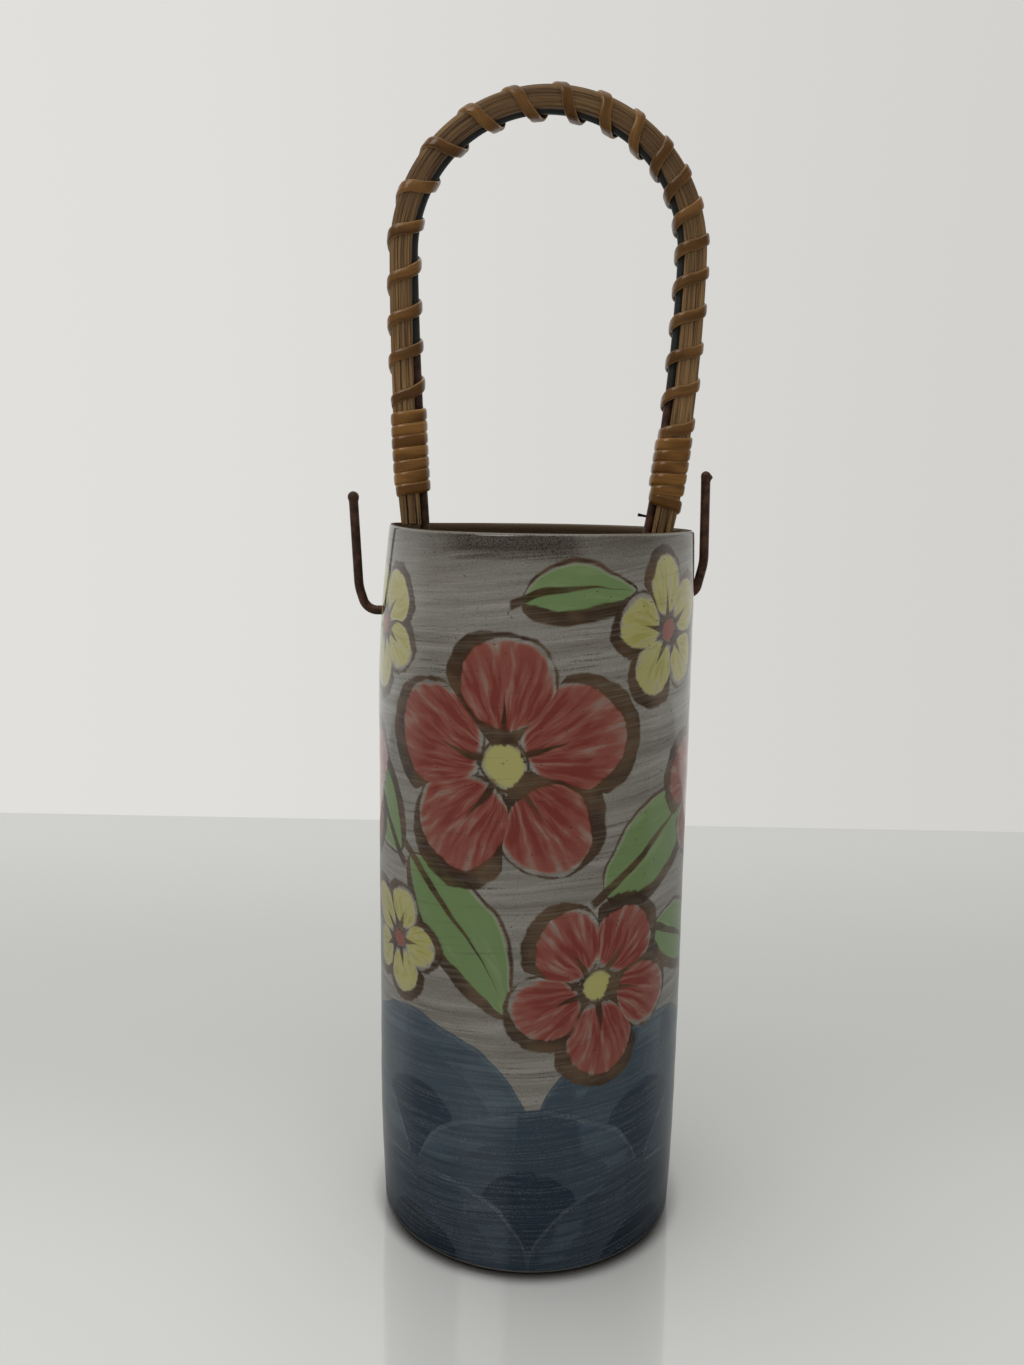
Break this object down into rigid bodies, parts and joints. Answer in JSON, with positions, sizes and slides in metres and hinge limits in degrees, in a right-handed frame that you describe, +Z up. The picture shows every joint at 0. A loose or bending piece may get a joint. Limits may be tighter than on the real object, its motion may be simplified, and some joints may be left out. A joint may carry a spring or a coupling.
{
  "type": "ikebana vase",
  "caption": "Straight cylindrical stoneware flower vase under a clear glaze, hung from a cane-bound splint bail whose bent wire swings in two holes through the wall.",
  "frame": {"origin": "on the table, in the middle of the foot, under the axis of the vase", "axes": "+Z up the axis of the vase; the bail lies in the XZ plane and is seen from the front along +Y, with the longer left hook at -X"},
  "size_m": [0.0858, 0.075, 0.2672],
  "materials": {
    "glazed_stoneware": "brushed white slip and painted colours over brown clay, under a clear gloss glaze",
    "dark_wire": "copper-alloy wire with a dark brown patina",
    "bamboo_splint": "split bamboo, aged brown, with long fibres",
    "split_cane": "split cane with its glossy skin outwards"
  },
  "bodies": {
    "vase": {"vase_body": "glazed_stoneware"},
    "bail": {"bail_wire": "dark_wire", "splint_outer_front": "bamboo_splint", "splint_outer_back": "bamboo_splint", "splint_middle_front": "bamboo_splint", "splint_middle_back": "bamboo_splint", "splint_inner_front": "bamboo_splint", "splint_inner_back": "bamboo_splint", "cane_spiral": "split_cane", "left_collar": "split_cane", "right_collar": "split_cane", "cane_tail": "split_cane"}
  },
  "joints": [
    {"name": "bail_swing", "type": "hinge", "parent": "vase", "child": "bail", "pos_m": [0, 0, 0.152], "axis": [0.9978, 0, 0.0665], "range_deg": [-20, 20]}
  ]
}
